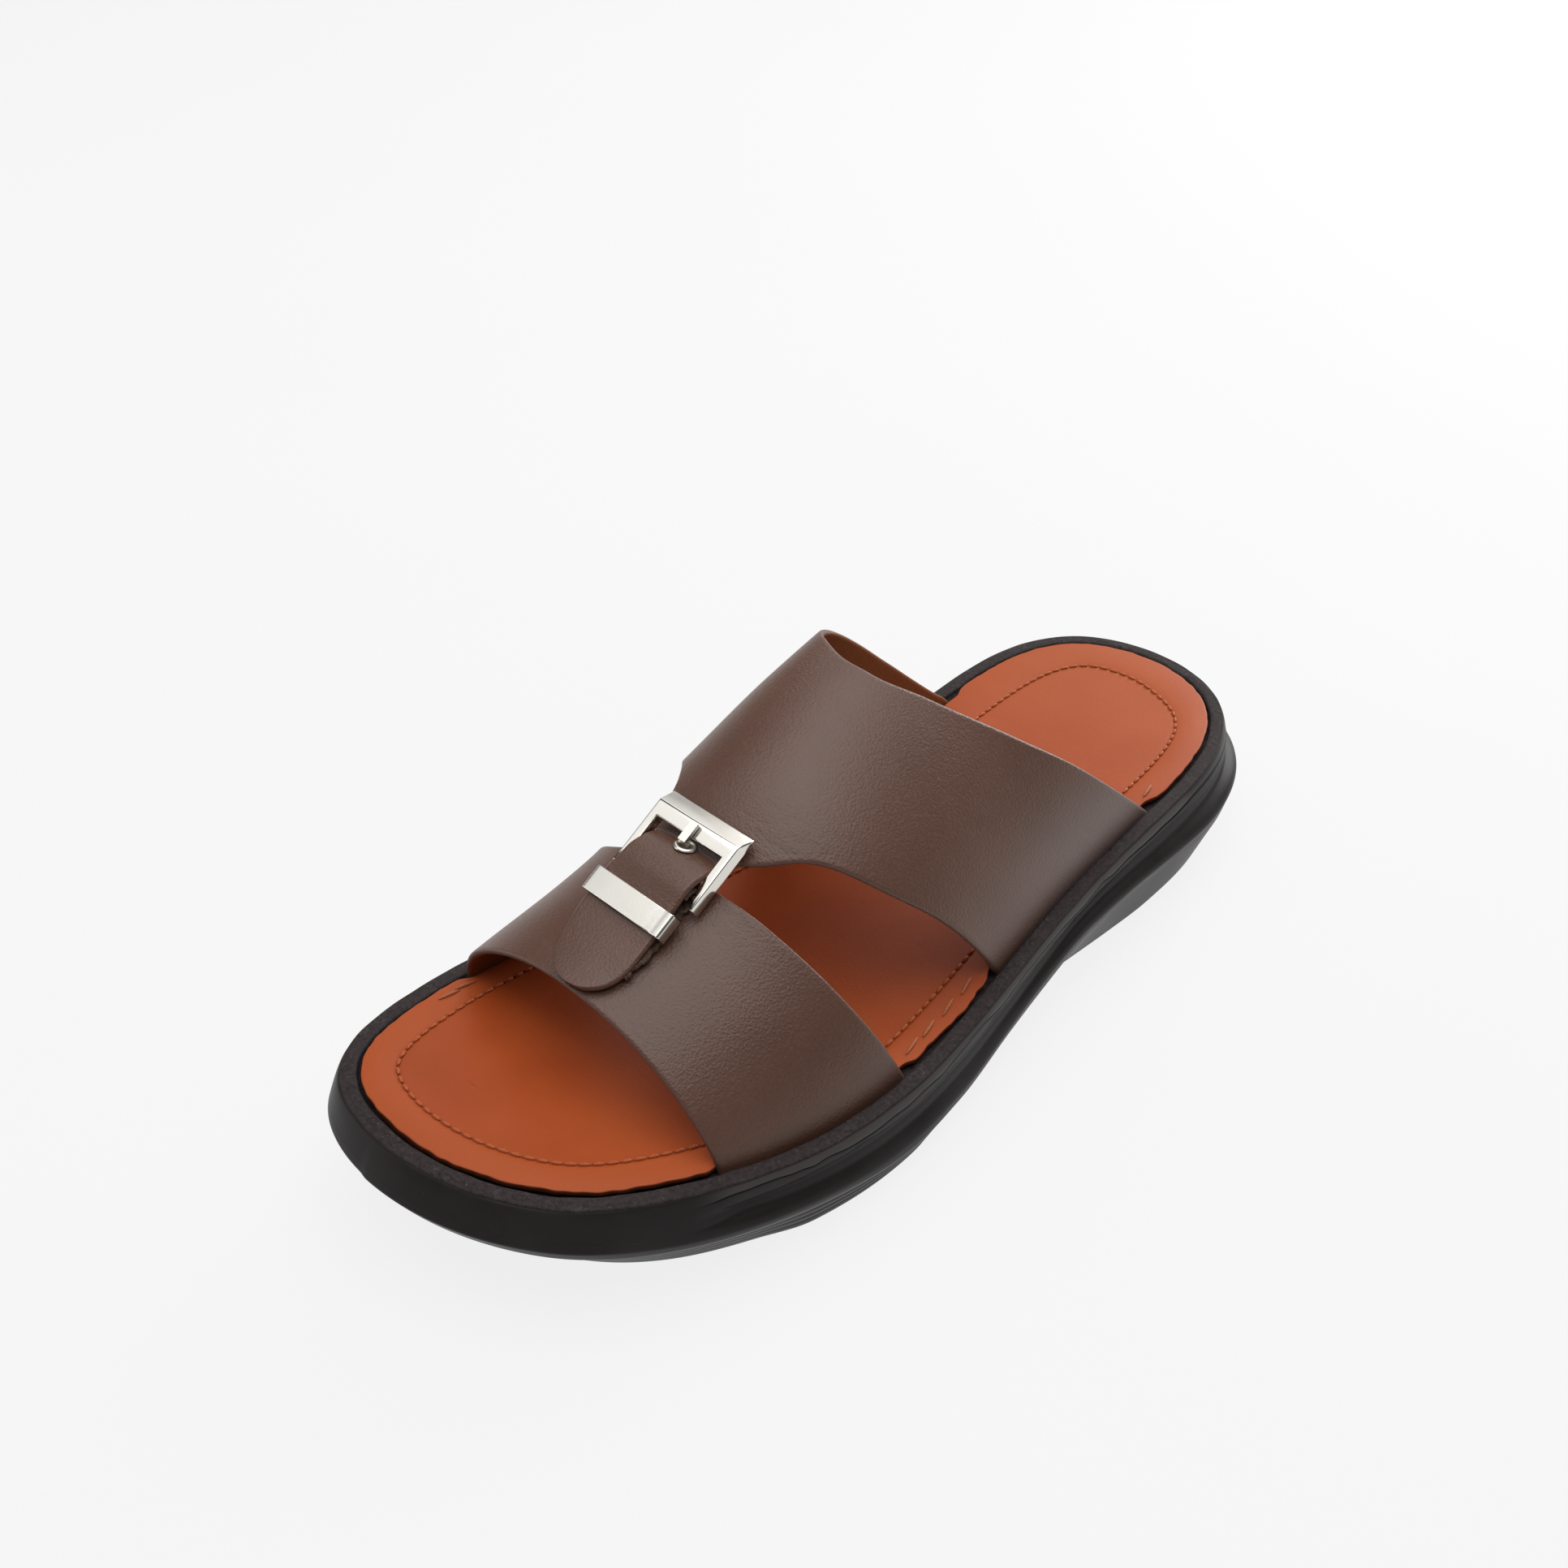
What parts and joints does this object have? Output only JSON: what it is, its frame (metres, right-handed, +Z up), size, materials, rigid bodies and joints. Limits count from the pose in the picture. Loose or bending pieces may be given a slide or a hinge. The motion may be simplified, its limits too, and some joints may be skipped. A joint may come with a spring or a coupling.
{
  "type": "slide sandal",
  "caption": "Open-toe leather slide for the left foot: an instep strap buckled to a toe strap, over a leather insole on a flared rubber sole.",
  "frame": {"origin": "on the floor, under the middle of the sole's outline", "axes": "+Z up, the toe points to -Y, +X is the outer side of the left foot"},
  "size_m": [0.1108, 0.2978, 0.0937],
  "materials": {
    "black_rubber": "satin black moulded rubber",
    "dark_board": "dark stained leather board",
    "tan_leather": "orange tan smooth leather",
    "brown_leather": "brown smooth leather with a soft sheen",
    "raw_leather": "raw edged dark leather",
    "nickel": "polished nickel plate"
  },
  "bodies": {
    "root": {"outsole": "black_rubber", "welt": "dark_board", "insole": "tan_leather", "front_strap": "brown_leather", "rear_strap": "brown_leather", "buckle_loop": "raw_leather", "buckle_frame": "nickel", "buckle_prong": "nickel", "tail_eyelet": "nickel", "tail_keeper": "nickel"}
  },
  "joints": []
}
